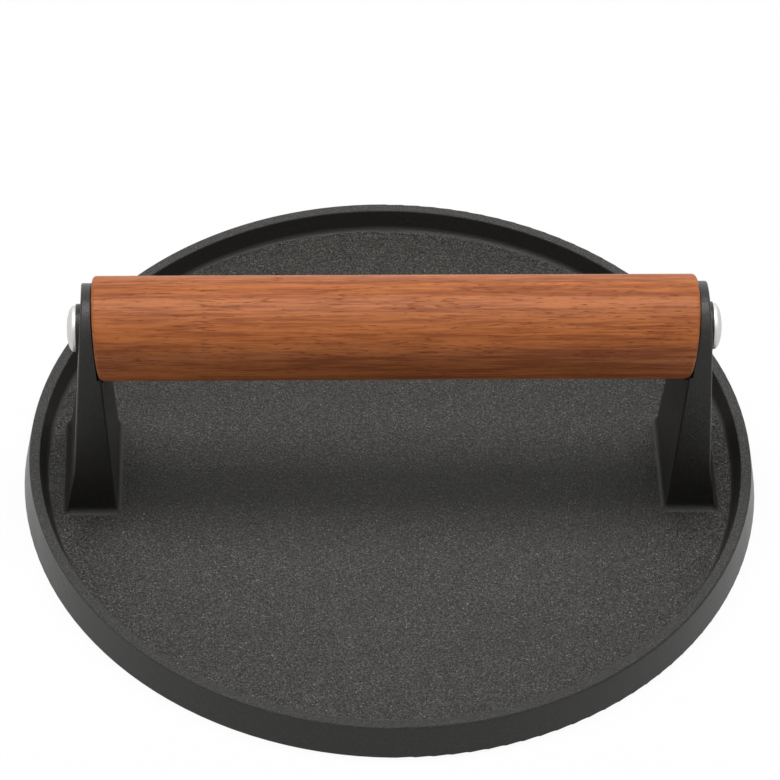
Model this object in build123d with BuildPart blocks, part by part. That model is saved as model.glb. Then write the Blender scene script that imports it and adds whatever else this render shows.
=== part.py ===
from build123d import *
import math
import os

# Round burger press: one iron casting with two ears, and a wooden grip on a rod between them.
# Millimetres, +Z up, +X along the grip, origin at the middle of the flat pressing face.

# Plate and its raised rim
plate_diameter = 180.0
rim_height = 9.1
rim_land = 2.6
outer_wall_draft = 9.85
inner_wall_draft = 12.0
floor_thickness = 3.1
floor_fillet = 2.0
land_edge_radius = 0.45
pressing_edge_radius = 0.4

# Grip
grip_diameter = 25.0
grip_height = 51.2
grip_end_gap = 0.35
grip_edge_radius = 0.8
rod_in_grip_clearance = 0.2

# Ears, cast in one with the plate, with a shallow round seat for each end of the grip
ear_thickness = 3.7
ear_top_radius = 10.8
ear_outer_draft = 3.5
ear_inner_draft = 3.7
ear_flank_draft = 5.15
ear_edge_radius = 0.5
seat_draft = 4.7
seat_depth = 1.15
seat_clearance = 0.5
foot_flare_height = 13.0
foot_flare_angle = 8.6
foot_flare_blend = 8.0
foot_fillet = 2.4
foot_to_rim_gap = 0.1

# Round bosses on the ears' outer faces, which the screws clamp
boss_diameter = 11.8
boss_rise = 0.75
boss_edge_radius = 0.25

# Tie rod, tapped at both ends
rod_diameter = 8.0
rod_in_ear_clearance = 0.15
rod_end_recess = 0.6
rod_end_chamfer = 0.4
thread_diameter = 6.0
thread_clearance = 0.05
tapped_depth = 16.0
drill_tip_angle = 118.0

# Domed screws with a hexagon socket
head_diameter = 11.0
head_height = 2.25
head_edge_height = 0.5
screw_length = 14.0
screw_tip_chamfer = 0.6
socket_across_flats = 4.0
socket_depth = 1.8


def run(rise, angle):
    """Sideways distance that a face drafted by the angle moves over the rise."""
    return rise * math.tan(math.radians(angle))


# Places that follow from the sizes above
base_radius = plate_diameter / 2
land_outer_radius = base_radius - run(rim_height, outer_wall_draft)
land_inner_radius = land_outer_radius - rim_land
wall_foot_radius = land_inner_radius - run(rim_height - floor_thickness, inner_wall_draft)
flat_floor_radius = wall_foot_radius - run(floor_fillet, (90 - inner_wall_draft) / 2)

flank_tangent_y = ear_top_radius * math.cos(math.radians(ear_flank_draft))
flank_tangent_z = grip_height + ear_top_radius * math.sin(math.radians(ear_flank_draft))
ear_head_z = grip_height + ear_top_radius
ear_root_z = floor_thickness / 2


def ear_half_depth(height):
    """Half the ear's size along Y at a height below its rounded top."""
    return flank_tangent_y + run(flank_tangent_z - height, ear_flank_draft)


# The outer corners of each foot stand just inside the edge of the flat floor
foot_corner_radius = flat_floor_radius - foot_fillet - foot_to_rim_gap
foot_outer_x = math.sqrt(foot_corner_radius**2 - ear_half_depth(floor_thickness) ** 2)
flare_top_z = floor_thickness + foot_flare_height
flare_top_x = foot_outer_x - run(foot_flare_height, foot_flare_angle)


def ear_outer_x(height):
    """Outer face of the ear above its flare."""
    return flare_top_x - run(height - flare_top_z, ear_outer_draft)


def seat_x(height):
    """Bottom of the seat in the ear's inner face, which the end of the grip faces."""
    return ear_outer_x(grip_height) - ear_thickness + run(height - grip_height, seat_draft)


def ear_inner_x(height):
    """Inner face of the ear around the seat."""
    return seat_x(grip_height) - seat_depth + run(height - grip_height, ear_inner_draft)


boss_face_x = ear_outer_x(grip_height) + boss_rise
rod_half_length = boss_face_x - rod_end_recess

os.makedirs("parts", exist_ok=True)


# Room for one end of the grip: its inner end stands clear of the ear, its outer end is the seat
with BuildPart() as seat_room:
    with BuildSketch(Plane.YZ):
        with Locations((0, grip_height)):
            Circle(grip_diameter / 2 + seat_clearance)
    extrude(amount=boss_face_x)
    with BuildSketch(Plane.XZ):
        with BuildLine():
            seat_low_z = grip_height - grip_diameter
            seat_high_z = grip_height + grip_diameter
            Polyline(
                (0, seat_low_z),
                (seat_x(seat_low_z), seat_low_z),
                (seat_x(seat_high_z), seat_high_z),
                (0, seat_high_z),
                close=True,
            )
        make_face()
    extrude(amount=grip_diameter, both=True, mode=Mode.INTERSECT)


# One ear with its boss, on the +X side
with BuildPart() as ear:
    with BuildSketch(Plane.XZ) as ear_thickness_profile:
        with BuildLine():
            Polyline(
                (ear_inner_x(ear_root_z), ear_root_z),
                (ear_inner_x(ear_head_z), ear_head_z),
                (ear_outer_x(ear_head_z), ear_head_z),
                (flare_top_x, flare_top_z),
                (foot_outer_x, floor_thickness),
                (foot_outer_x, ear_root_z),
                close=True,
            )
        make_face()
        flare_corner = ear_thickness_profile.vertices().sort_by_distance((flare_top_x, flare_top_z))
        fillet(flare_corner[0], foot_flare_blend)
    extrude(amount=ear_half_depth(ear_root_z), both=True)
    with BuildSketch(Plane.YZ):
        with BuildLine():
            root_y = ear_half_depth(ear_root_z)
            Line((root_y, ear_root_z), (flank_tangent_y, flank_tangent_z))
            ThreePointArc(
                (flank_tangent_y, flank_tangent_z),
                (0, ear_head_z),
                (-flank_tangent_y, flank_tangent_z),
            )
            Line((-flank_tangent_y, flank_tangent_z), (-root_y, ear_root_z))
            Line((-root_y, ear_root_z), (root_y, ear_root_z))
        make_face()
    extrude(amount=base_radius, mode=Mode.INTERSECT)
    outline_edges = ear.edges().filter_by(Axis.X, reverse=True).filter_by(Axis.Y, reverse=True)
    fillet(outline_edges, ear_edge_radius)
    add(seat_room.part, mode=Mode.SUBTRACT)
    with BuildSketch(Plane.YZ.offset(boss_face_x)):
        with Locations((0, grip_height)):
            Circle(boss_diameter / 2)
    extrude(amount=-(boss_rise + ear_thickness / 2))
    boss_face = ear.faces().filter_by(Plane.YZ).sort_by(Axis.X)[-1]
    fillet(boss_face.edges(), boss_edge_radius)


# The whole casting: plate, rim, both ears and their bosses
with BuildPart() as press_casting:
    with BuildSketch(Plane.XZ):
        with BuildLine():
            Polyline(
                (0, 0),
                (base_radius, 0),
                (land_outer_radius, rim_height),
                (land_inner_radius, rim_height),
                (wall_foot_radius, floor_thickness),
                (0, floor_thickness),
                close=True,
            )
        make_face()
    revolve(axis=Axis.Z)
    add(ear.part)
    mirror(ear.part, about=Plane.YZ)
    foot_edges = press_casting.edges().filter_by_position(
        Axis.Z, floor_thickness, floor_thickness
    ).sort_by(SortBy.LENGTH)[:-1]
    fillet(foot_edges, foot_fillet)
    wall_foot_edge = press_casting.edges().filter_by_position(
        Axis.Z, floor_thickness, floor_thickness
    ).sort_by(SortBy.LENGTH)[-1]
    fillet(wall_foot_edge, floor_fillet)
    rim_top_edges = press_casting.edges().filter_by_position(Axis.Z, rim_height, rim_height)
    fillet(rim_top_edges.filter_by(GeomType.CIRCLE), land_edge_radius)
    fillet(press_casting.edges().group_by(Axis.Z)[0], pressing_edge_radius)
    with BuildSketch(Plane.YZ):
        with Locations((0, grip_height)):
            Circle(rod_diameter / 2 + rod_in_ear_clearance)
    extrude(amount=base_radius, both=True, mode=Mode.SUBTRACT)

press_casting.part.label = "press_casting"
export_step(press_casting.part, "parts/press_casting.step")


# Wooden grip: its ends are cut parallel to the slanted seats, so it can't turn between them
with BuildPart() as wood_grip:
    with BuildSketch(Plane.YZ):
        with Locations((0, grip_height)):
            Circle(grip_diameter / 2)
    extrude(amount=boss_face_x, both=True)
    with BuildSketch(Plane.XZ):
        with BuildLine():
            low_x = seat_x(seat_low_z) - grip_end_gap
            high_x = seat_x(seat_high_z) - grip_end_gap
            Polyline(
                (-low_x, seat_low_z),
                (low_x, seat_low_z),
                (high_x, seat_high_z),
                (-high_x, seat_high_z),
                close=True,
            )
        make_face()
    extrude(amount=grip_diameter, both=True, mode=Mode.INTERSECT)
    fillet(wood_grip.edges().filter_by(GeomType.ELLIPSE), grip_edge_radius)
    with BuildSketch(Plane.YZ):
        with Locations((0, grip_height)):
            Circle(rod_diameter / 2 + rod_in_grip_clearance)
    extrude(amount=boss_face_x, both=True, mode=Mode.SUBTRACT)

wood_grip.part.label = "wood_grip"
export_step(wood_grip.part, "parts/wood_grip.step")


# Steel tie rod, through the grip and both ears
with BuildPart() as tie_rod:
    with BuildSketch(Plane.YZ):
        with Locations((0, grip_height)):
            Circle(rod_diameter / 2)
    extrude(amount=rod_half_length, both=True)
    chamfer(tie_rod.edges(), rod_end_chamfer)
    tapped_radius = thread_diameter / 2 + thread_clearance
    drill_tip = tapped_radius / math.tan(math.radians(drill_tip_angle / 2))
    with BuildSketch(Plane.XZ):
        for side in (-1, 1):
            mouth_x = side * rod_half_length
            floor_x = side * (rod_half_length - tapped_depth)
            tip_x = side * (rod_half_length - tapped_depth - drill_tip)
            with BuildLine():
                Polyline(
                    (mouth_x, grip_height),
                    (mouth_x, grip_height + tapped_radius),
                    (floor_x, grip_height + tapped_radius),
                    (tip_x, grip_height),
                    close=True,
                )
            make_face()
    revolve(axis=Axis((0, 0, grip_height), (1, 0, 0)), mode=Mode.SUBTRACT)

tie_rod.part.label = "tie_rod"
export_step(tie_rod.part, "parts/tie_rod.step")


def make_screw(name, side):
    """Screw on one side: a domed head on the boss and a plain shank in the tapped rod."""
    seat = Plane((side * boss_face_x, 0, grip_height), x_dir=(0, 0, 1), z_dir=(0, side, 0))
    apex = Plane((side * (boss_face_x + head_height), 0, grip_height), z_dir=(side, 0, 0))
    head_radius = head_diameter / 2
    shank_radius = thread_diameter / 2
    with BuildPart() as screw:
        with BuildSketch(seat):
            with BuildLine():
                Polyline(
                    (0, head_height),
                    (0, -screw_length),
                    (shank_radius - screw_tip_chamfer, -screw_length),
                    (shank_radius, screw_tip_chamfer - screw_length),
                    (shank_radius, 0),
                    (head_radius, 0),
                    (head_radius, head_edge_height),
                )
                EllipticalCenterArc((0, head_edge_height), head_radius, head_height - head_edge_height)
            make_face()
        revolve(axis=Axis(seat.origin, seat.y_dir))
        with BuildSketch(apex):
            RegularPolygon(socket_across_flats / 2, 6, major_radius=False)
        extrude(amount=-socket_depth, mode=Mode.SUBTRACT)
    screw.part.label = name
    export_step(screw.part, "parts/" + name + ".step")
    return screw.part


make_screw("screw_left", -1)
make_screw("screw_right", 1)
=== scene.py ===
import math

import bmesh
import bpy
from bpy.props import FloatProperty, FloatVectorProperty, PointerProperty
from mathutils import Matrix, Vector


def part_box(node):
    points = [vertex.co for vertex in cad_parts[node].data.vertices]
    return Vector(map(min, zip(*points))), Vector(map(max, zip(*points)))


bl_info = {
    "name": "Burger Press Finish",
    "version": (1, 0, 0),
    "blender": (4, 5, 0),
    "location": "View3D > Sidebar > Burger Press",
    "description": "Finishes the iron, wood and steel of a round burger press and sets its studio",
    "category": "Object",
}

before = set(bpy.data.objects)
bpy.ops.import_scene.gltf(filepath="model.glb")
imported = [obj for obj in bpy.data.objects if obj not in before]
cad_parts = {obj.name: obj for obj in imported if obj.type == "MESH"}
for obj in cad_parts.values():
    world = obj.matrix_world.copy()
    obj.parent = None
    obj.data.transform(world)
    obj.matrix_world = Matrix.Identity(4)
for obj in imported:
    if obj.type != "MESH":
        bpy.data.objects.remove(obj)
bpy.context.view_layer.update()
MM = 0.001

# The grip's axis runs along X at this height
GRIP_LOW, GRIP_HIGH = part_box("wood_grip")
GRIP_AXIS_Z = (GRIP_LOW[2] + GRIP_HIGH[2]) / 2

# Heights between which a look of the casting fades in or out
LAND_STARTS = (8.8 * MM, 9.0 * MM)
LAND_ENDS = (10.0 * MM, 11.0 * MM)
GRAIN_ENDS = (11.5 * MM, 14.0 * MM)

# Upright part of a face's normal: up to the first value it's a wall, from the second on it's level
LEVEL_NORMAL = (0.80, 0.97)

# Width of the camera's sensor, in millimetres
SENSOR_WIDTH = 36.0

# The studio's floor: its two tones, and the share of plain white that the camera sees in it
FLOOR_TONES = ((0.86, 0.86, 0.86), (0.88, 0.88, 0.88))
FLOOR_SHOWN_WHITE = 0.94
FLOOR_HALF_SIZE = 3.0
FLOOR_DROP = 0.2 * MM
WHITE = (1.0, 1.0, 1.0)

# Each softbox: its power's property, its width and depth, its place and the point that it faces
SOFTBOXES = {
    "overhead_softbox": ("overhead", (1.2, 0.42), (0.0, 0.17, 1.2), (0.0, 0.0, 0.0)),
    "front_softbox": ("front", (1.4, 0.32), (0.0, -0.52, 1.05), (0.0, 0.0, 0.0)),
    "back_softbox": ("back", (2.4, 0.8), (0.0, 1.3, 0.5), (0.0, 0.0, 0.03)),
    "left_softbox": ("side", (0.8, 0.5), (-1.1, -0.1, 0.55), (0.0, 0.0, 0.03)),
    "right_softbox": ("side", (0.8, 0.5), (1.1, -0.1, 0.55), (0.0, 0.0, 0.03)),
}


def colour(name, text, value):
    """A colour property with a picker."""
    return FloatVectorProperty(
        name=name, description=text, subtype="COLOR", size=3, min=0.0, max=1.0, default=value
    )


def length(name, text, value):
    """A length property in metres."""
    return FloatProperty(
        name=name, description=text, subtype="DISTANCE", unit="LENGTH", min=0.0, default=value
    )


def share(name, text, value):
    """A property that runs from nothing to all."""
    return FloatProperty(
        name=name, description=text, subtype="FACTOR", min=0.0, max=1.0, default=value
    )


def amount(name, text, value):
    """A plain number property, such as a lamp's power."""
    return FloatProperty(name=name, description=text, default=value)


class IronFinish(bpy.types.PropertyGroup):
    """Black seasoned skin of the casting."""

    skin: colour("Skin", "Colour of the seasoned iron", (0.0178, 0.0167, 0.0152))
    grain_light: colour("Grain light", "Colour of the grain's crests", (0.096, 0.0945, 0.087))
    # The speck colour is a painted highlight: the grain's brightest points stand in for glints on
    # its crests
    speck: colour("Speck", "Colour of the brightest points of the grain", (0.34, 0.34, 0.32))
    land: colour("Rim land", "Colour of the flat top of the rim", (0.057, 0.0565, 0.054))
    grain_size: length("Grain size", "Width of one grain of the sand-cast floor", 0.60 * MM)
    grain_depth: length("Grain depth", "Height of the grain on the floor", 1.0 * MM)
    wear_size: length("Wear size", "Width of one paler or darker patch", 9.0 * MM)
    satin_size: length("Satin size", "Width of the fine unevenness of every face", 1.4 * MM)
    satin_depth: length("Satin depth", "Height of the fine unevenness", 0.020 * MM)
    roughness: share("Roughness", "Roughness of the skin", 0.35)
    specular: share("Specular", "Strength of the skin's reflection", 0.28)


class WoodFinish(bpy.types.PropertyGroup):
    """Turned and oiled red-brown hardwood."""

    pale: colour("Pale wood", "Colour between the dark streaks", (0.47, 0.150, 0.044))
    dark: colour("Dark wood", "Colour of the streaks", (0.255, 0.068, 0.020))
    pore: colour("Pores", "Colour in the open pores", (0.11, 0.024, 0.009))
    streak_width: length("Streak width", "Width of one streak across the grain", 1.6 * MM)
    band_width: length("Band width", "Width of one broad band of streaks", 7.0 * MM)
    hair_width: length("Hair width", "Width of the finest lines", 0.55 * MM)
    pore_width: length("Pore width", "Width of one pore", 0.38 * MM)
    pore_depth: length("Pore depth", "Depth of the pores and the grain", 0.05 * MM)
    roughness: share("Roughness", "Roughness of the oiled surface", 0.50)
    specular: share("Specular", "Strength of the oiled surface's reflection", 0.2)


class SteelFinish(bpy.types.PropertyGroup):
    """Bright plated steel of the screws and turned steel of the rod."""

    plating: colour("Plating", "Colour of the screws", (0.60, 0.59, 0.57))
    bare: colour("Bare steel", "Colour of the rod", (0.50, 0.49, 0.47))
    roughness: share("Roughness", "Roughness of the screws", 0.50)
    bare_roughness: share("Bare roughness", "Roughness of the rod", 0.35)


class Studio(bpy.types.PropertyGroup):
    """Camera, floor and lamps."""

    lens: amount("Lens", "Focal length in millimetres on a 36 mm sensor", 182.85)
    camera_place: FloatVectorProperty(
        name="Camera", description="Place of the camera", subtype="TRANSLATION", size=3,
        default=(-36.35 * MM, -669.4 * MM, 713.0 * MM),
    )
    camera_target: FloatVectorProperty(
        name="Target", description="Point that the camera looks at", subtype="TRANSLATION", size=3,
        default=(0.88 * MM, 29.32 * MM, 0.0),
    )
    camera_roll: FloatProperty(
        name="Roll", description="Turn of the camera about its own view", subtype="ANGLE",
        default=math.radians(1.90),
    )
    overhead: amount("Overhead power", "Watts of the overhead softbox", 15.0)
    front: amount("Front power", "Watts of the narrow softbox high in front", 2.7)
    back: amount("Back power", "Watts of the low softbox behind the press", 3.4)
    side: amount("Side power", "Watts of each side softbox", 0.5)
    sky: amount("Sky", "Strength of the even light from all round", 0.016)


class Wire:
    """An output socket that stands in Python expressions, where each operator adds a Math node."""

    def __init__(self, sheet, socket):
        self.sheet = sheet
        self.socket = socket

    def math(self, operation, *values):
        """A Math node that takes the values in turn."""
        return self.sheet.node("ShaderNodeMath", {"operation": operation}, values)

    def __add__(self, other):
        return self.math("ADD", self, other)

    def __radd__(self, other):
        return self.math("ADD", other, self)

    def __sub__(self, other):
        return self.math("SUBTRACT", self, other)

    def __rsub__(self, other):
        return self.math("SUBTRACT", other, self)

    def __mul__(self, other):
        return self.math("MULTIPLY", self, other)

    def __rmul__(self, other):
        return self.math("MULTIPLY", other, self)

    def __pow__(self, other):
        return self.math("POWER", self, other)

    def __rpow__(self, other):
        return self.math("POWER", other, self)

    def clamped(self):
        """The same value, kept between 0 and 1."""
        return self.sheet.node("ShaderNodeClamp", {}, (self, 0.0, 1.0))


class NodeSheet:
    """The node tree of a new material or world and the calls that add nodes to it."""

    def __init__(self, owner):
        self.owner = owner
        owner.use_nodes = True
        self.tree = owner.node_tree
        self.tree.nodes.clear()

    def node(self, kind, settings, values, output=0):
        """Adds one node: its settings first, then a value or a wire for each socket."""
        node = self.tree.nodes.new(kind)
        for name, setting in settings.items():
            setattr(node, name, setting)
        pairs = values.items() if isinstance(values, dict) else enumerate(values)
        for key, value in pairs:
            self.feed(node.inputs[key], value)
        return Wire(self, node.outputs[output]) if node.outputs else None

    def feed(self, socket, value):
        """Links a wire to a socket, or sets the socket's own value. None leaves it as it is."""
        if isinstance(value, Wire):
            self.tree.links.new(value.socket, socket)
        elif value is not None:
            if socket.type == "RGBA" and len(value) == 3:
                value = (*value, 1.0)
            socket.default_value = value

    def place(self):
        """Place on the object, in metres in the press's own frame."""
        return self.node("ShaderNodeTexCoord", {}, (), "Object")

    def parts(self, vector):
        """The three parts of a vector, each as a wire."""
        split = self.node("ShaderNodeSeparateXYZ", {}, (vector,))
        return [Wire(self, socket) for socket in split.socket.node.outputs]

    def vector(self, x, y, z):
        """One vector made of three numbers or wires."""
        return self.node("ShaderNodeCombineXYZ", {}, (x, y, z))

    def scaled(self, vector, factors):
        """A vector with each of its parts multiplied by its own factor."""
        return self.node("ShaderNodeVectorMath", {"operation": "MULTIPLY"}, (vector, factors))

    def noise(self, vector, size, detail, roughness, distortion=0.0):
        """Noise between 0 and 1 whose blotches are about the size given, in metres."""
        values = {
            "Vector": vector,
            "Scale": 1.0 / size,
            "Detail": detail,
            "Roughness": roughness,
            "Distortion": distortion,
        }
        return self.node("ShaderNodeTexNoise", {"noise_dimensions": "3D"}, values)

    def between(self, value, low, high):
        """0 below the low value, 1 above the high one, smooth between them."""
        settings = {"interpolation_type": "SMOOTHSTEP", "clamp": True}
        values = {"Value": value, "From Min": low, "From Max": high, "To Min": 0.0, "To Max": 1.0}
        return self.node("ShaderNodeMapRange", settings, values)

    def mixed(self, fac, first, second):
        """Mix of two colours."""
        return self.node("ShaderNodeMix", {"data_type": "RGBA"}, {0: fac, 6: first, 7: second}, 2)

    def bump(self, height, distance, strength, under=None):
        """Bump of a height, with another bump's normal under it if there is one."""
        values = {"Strength": strength, "Distance": distance, "Height": height, "Normal": under}
        return self.node("ShaderNodeBump", {}, values)

    def finish(self, **sockets):
        """Ends the material in one Principled shader."""
        values = {name.replace("_", " "): value for name, value in sockets.items()}
        shader = self.node("ShaderNodeBsdfPrincipled", {}, values, "BSDF")
        self.node("ShaderNodeOutputMaterial", {}, {"Surface": shader})
        return self.owner


def iron_material(finish):
    """Seasoned sand-cast iron: grainy on the floor and the rim's top, smoother on walls and ears."""
    sheet = NodeSheet(bpy.data.materials.new("seasoned_iron_skin"))
    place = sheet.place()
    _, _, z = sheet.parts(place)
    _, _, up = sheet.parts(sheet.node("ShaderNodeNewGeometry", {}, (), "Normal"))
    level = sheet.between(up, *LEVEL_NORMAL)
    grainy = level * (1.0 - sheet.between(z, *GRAIN_ENDS))
    grain = sheet.noise(place, finish.grain_size, 3.0, 0.62)
    fine = sheet.noise(place, finish.grain_size * 0.5, 2.0, 0.5)
    soft = sheet.noise(place, finish.wear_size, 3.0, 0.5)
    height = grain * 0.6 + fine * 0.4
    crest = sheet.between(height, 0.42, 0.60)
    tone = sheet.mixed(crest * (0.12 + grainy * 0.88), tuple(finish.skin), tuple(finish.grain_light))
    worn = sheet.mixed(0.5, tone, (0.02, 0.02, 0.02))
    tone = sheet.mixed(sheet.between(soft, 0.35, 0.65) * 0.25, tone, worn)
    # Painted glints: dots of the speck colour on the level grainy faces stand in for highlights on
    # the grain
    painted_glints = sheet.between(sheet.noise(place, finish.grain_size * 0.6, 1.0, 0.5), 0.64, 0.74)
    tone = sheet.mixed(painted_glints * grainy * 0.8, tone, tuple(finish.speck))
    on_land = level * sheet.between(z, *LAND_STARTS) * (1.0 - sheet.between(z, *LAND_ENDS))
    tone = sheet.mixed(on_land * (0.3 + grain * 0.5), tone, tuple(finish.land))
    rough = finish.roughness + on_land * 0.15 + (soft - 0.5) * 0.10 + (grain - 0.5) * 0.16
    satin = sheet.bump(sheet.noise(place, finish.satin_size, 4.0, 0.6), finish.satin_depth, 1.0)
    bump = sheet.bump(height * (0.10 + grainy * 0.90), finish.grain_depth, 1.0, satin)
    return sheet.finish(
        Base_Color=tone, Roughness=rough, Specular_IOR_Level=finish.specular, Normal=bump
    )


def wood_material(finish):
    """Oiled hardwood with streaks and short dark pores that run along the grip."""
    sheet = NodeSheet(bpy.data.materials.new("oiled_hardwood"))
    place = sheet.place()

    def lines(length_share, width, detail, roughness, distortion=0.0):
        """Noise drawn out along the grip, whose blotches are the width divided by the share long."""
        drawn_out = sheet.scaled(place, (length_share, 1.0, 1.0))
        return sheet.noise(drawn_out, width, detail, roughness, distortion)

    streaks = lines(0.04, finish.streak_width, 4.0, 0.6, 0.2)
    broad = lines(0.09, finish.band_width, 2.0, 0.5)
    hair = lines(0.05, finish.hair_width, 3.0, 0.65)
    flecks = lines(0.13, finish.pore_width, 1.0, 0.5)
    fleck_spread = lines(0.4, 5.0 * MM, 2.0, 0.5)
    pore = sheet.between(flecks + (fleck_spread - 0.5) * 0.3, 0.60, 0.72)
    fac = sheet.between(streaks * 0.38 + hair * 0.42 + broad * 0.20, 0.40, 0.60)
    tone = sheet.mixed(fac, tuple(finish.pale), tuple(finish.dark))
    tone = sheet.mixed(pore * 0.5, tone, tuple(finish.pore))
    rough = finish.roughness + pore * 0.25 + (hair - 0.5) * 0.12
    bump = sheet.bump(hair * 0.35 + streaks * 0.25 - pore, finish.pore_depth, 0.8)
    return sheet.finish(
        Base_Color=tone, Roughness=rough, Specular_IOR_Level=finish.specular, Normal=bump
    )


def steel_material(name, tint, roughness, centre_line):
    """Turned steel, with fine rings about an axis along X at the height of the centre line."""
    sheet = NodeSheet(bpy.data.materials.new(name))
    place = sheet.place()
    x, y, z = sheet.parts(place)
    rise = z - centre_line
    radius = (y * y + rise * rise) ** 0.5
    rings = sheet.noise(sheet.vector(radius, x, 0.0), 0.09 * MM, 2.0, 0.5)
    smudge = sheet.noise(place, 2.2 * MM, 3.0, 0.5)
    darker = tuple(part * 0.78 for part in tint)
    tone = sheet.mixed(sheet.between(smudge, 0.35, 0.7) * 0.25, tint, darker)
    rough = roughness + (rings - 0.5) * 0.10 + (smudge - 0.5) * 0.14
    return sheet.finish(
        Base_Color=tone, Metallic=1.0, Roughness=rough, Normal=sheet.bump(rings, 0.004 * MM, 0.6)
    )


def dress(node, material):
    """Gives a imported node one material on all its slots."""
    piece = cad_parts.get(node)
    if piece is None:
        raise RuntimeError("the frame has no node named " + node)
    piece.data.materials.clear()
    piece.data.materials.append(material)


class PRESS_OT_casting(bpy.types.Operator):
    """Finishes the iron casting"""

    bl_idname = "press.casting"
    bl_label = "Finish the casting"

    def execute(self, context):
        dress("press_casting", iron_material(context.scene.press_iron))
        return {"FINISHED"}


class PRESS_OT_grip(bpy.types.Operator):
    """Finishes the wooden grip"""

    bl_idname = "press.grip"
    bl_label = "Finish the grip"

    def execute(self, context):
        dress("wood_grip", wood_material(context.scene.press_wood))
        return {"FINISHED"}


class PRESS_OT_fastenings(bpy.types.Operator):
    """Finishes the tie rod and the two screws"""

    bl_idname = "press.fastenings"
    bl_label = "Finish the rod and screws"

    def execute(self, context):
        finish = context.scene.press_steel
        plated = steel_material("plated_steel", tuple(finish.plating), finish.roughness, GRIP_AXIS_Z)
        for node in ("screw_left", "screw_right"):
            dress(node, plated)
        turned = steel_material(
            "turned_steel", tuple(finish.bare), finish.bare_roughness, GRIP_AXIS_Z
        )
        dress("tie_rod", turned)
        return {"FINISHED"}


def sight_rays(sheet):
    """1 for the rays that see the background: the camera's own, reflected and transmitted ones."""
    direct = sheet.node("ShaderNodeLightPath", {}, (), "Is Camera Ray")
    reflected = Wire(sheet, direct.socket.node.outputs["Is Glossy Ray"])
    transmitted = Wire(sheet, direct.socket.node.outputs["Is Transmission Ray"])
    return (direct + reflected + transmitted).clamped()


def add_softbox(name, power, size, place, target):
    """A rectangular lamp that faces a target."""
    lamp = bpy.data.lights.new(name, "AREA")
    lamp.shape = "RECTANGLE"
    lamp.size, lamp.size_y = size
    lamp.energy = power
    piece = bpy.data.objects.new(name, lamp)
    piece.location = place
    piece.rotation_euler = (Vector(target) - Vector(place)).to_track_quat("-Z", "Y").to_euler()
    bpy.context.scene.collection.objects.link(piece)


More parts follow.
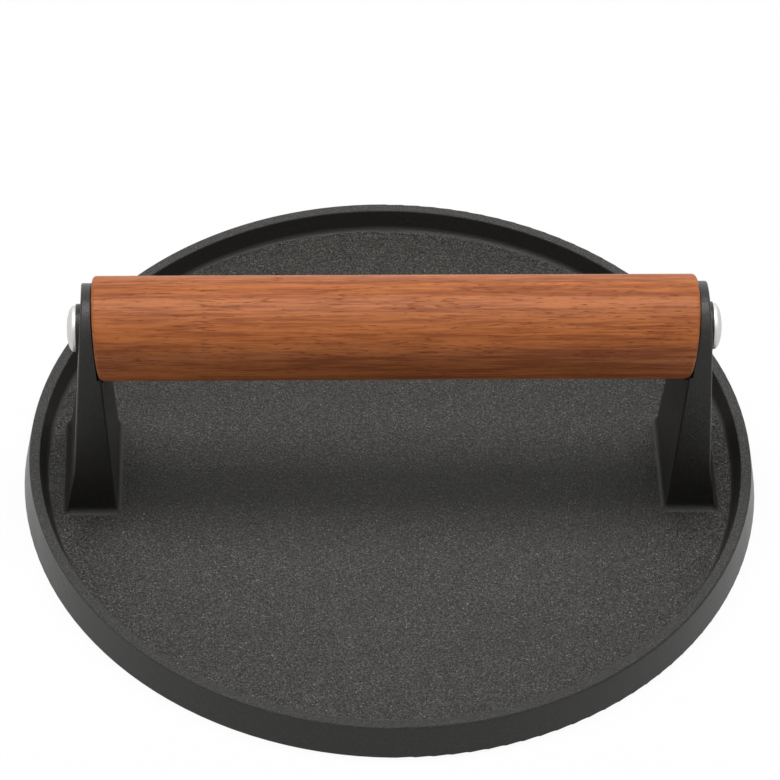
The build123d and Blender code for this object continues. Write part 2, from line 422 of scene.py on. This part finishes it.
class PRESS_OT_stage(bpy.types.Operator):
    """Sets the camera, the pale floor and the soft studio light"""

    bl_idname = "press.stage"
    bl_label = "Set the studio"

    def execute(self, context):
        studio = context.scene.press_studio
        self.add_camera(context, studio)
        self.add_floor(context)
        self.set_world(context, studio)
        for name, (power, size, place, target) in SOFTBOXES.items():
            add_softbox(name, getattr(studio, power), size, place, target)
        context.scene.view_settings.view_transform = "Standard"
        return {"FINISHED"}

    def add_camera(self, context, studio):
        """The camera that sees the press as the photo does."""
        ahead = (Vector(studio.camera_target) - Vector(studio.camera_place)).normalized()
        level_right = ahead.cross(Vector((0.0, 0.0, 1.0))).normalized()
        level_up = level_right.cross(ahead)
        turn_cos = math.cos(studio.camera_roll)
        turn_sin = math.sin(studio.camera_roll)
        right = turn_cos * level_right + turn_sin * level_up
        up = turn_cos * level_up - turn_sin * level_right
        axes = Matrix((right, up, -ahead)).transposed().to_4x4()
        data = bpy.data.cameras.new("product_camera")
        data.lens = studio.lens
        data.sensor_width = SENSOR_WIDTH
        data.clip_start = 10.0 * MM
        camera = bpy.data.objects.new("product_camera", data)
        camera.matrix_world = Matrix.Translation(studio.camera_place) @ axes
        context.scene.collection.objects.link(camera)
        context.scene.camera = camera

    def add_floor(self, context):
        """A pale floor just under the press, shown white and shaded only by the press."""
        mesh = bpy.data.meshes.new("studio_floor")
        shape = bmesh.new()
        bmesh.ops.create_grid(shape, x_segments=1, y_segments=1, size=FLOOR_HALF_SIZE)
        shape.to_mesh(mesh)
        shape.free()
        floor = bpy.data.objects.new("studio_floor", mesh)
        floor.location.z = -FLOOR_DROP
        context.scene.collection.objects.link(floor)
        sheet = NodeSheet(bpy.data.materials.new("pale_floor"))
        speck = sheet.noise(sheet.place(), 0.4, 2.0, 0.5)
        tone = sheet.mixed(speck, *FLOOR_TONES)
        values = {"Base Color": tone, "Roughness": 0.9}
        surface = sheet.node("ShaderNodeBsdfPrincipled", {}, values, "BSDF")
        white = sheet.node("ShaderNodeEmission", {}, {"Color": WHITE, "Strength": 1.0})
        seen = sight_rays(sheet) * FLOOR_SHOWN_WHITE
        shown = sheet.node("ShaderNodeMixShader", {}, (seen, surface, white))
        sheet.node("ShaderNodeOutputMaterial", {}, {"Surface": shown})
        floor.data.materials.append(sheet.owner)

    def set_world(self, context, studio):
        """A faint even light, and plain white wherever the background is seen."""
        sheet = NodeSheet(bpy.data.worlds.new("soft_studio"))
        light = sheet.node("ShaderNodeBackground", {}, {"Color": WHITE, "Strength": studio.sky})
        white = sheet.node("ShaderNodeBackground", {}, {"Color": WHITE, "Strength": 1.0})
        shown = sheet.node("ShaderNodeMixShader", {}, (sight_rays(sheet), light, white))
        sheet.node("ShaderNodeOutputWorld", {}, {"Surface": shown})
        context.scene.world = sheet.owner


class PRESS_PT_panel(bpy.types.Panel):
    """Sidebar panel with each finish and its sizes"""

    bl_idname = "PRESS_PT_panel"
    bl_label = "Burger Press"
    bl_space_type = "VIEW_3D"
    bl_region_type = "UI"
    bl_category = "Burger Press"

    def draw(self, context):
        for operator, group in STEPS:
            box = self.layout.box()
            box.operator(operator)
            settings = getattr(context.scene, group)
            for name in settings.__annotations__:
                box.prop(settings, name)


STEPS = (
    ("press.casting", "press_iron"),
    ("press.grip", "press_wood"),
    ("press.fastenings", "press_steel"),
    ("press.stage", "press_studio"),
)
GROUPS = {
    "press_iron": IronFinish,
    "press_wood": WoodFinish,
    "press_steel": SteelFinish,
    "press_studio": Studio,
}
CLASSES = (
    *GROUPS.values(),
    PRESS_OT_casting,
    PRESS_OT_grip,
    PRESS_OT_fastenings,
    PRESS_OT_stage,
    PRESS_PT_panel,
)


def register():
    for cls in CLASSES:
        bpy.utils.register_class(cls)
    for name, group in GROUPS.items():
        setattr(bpy.types.Scene, name, PointerProperty(type=group))


def unregister():
    for name in GROUPS:
        delattr(bpy.types.Scene, name)
    for cls in reversed(CLASSES):
        bpy.utils.unregister_class(cls)


def main():
    """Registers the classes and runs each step."""
    register()
    bpy.ops.press.casting()
    bpy.ops.press.grip()
    bpy.ops.press.fastenings()
    bpy.ops.press.stage()


if __name__ == "__main__":
    main()
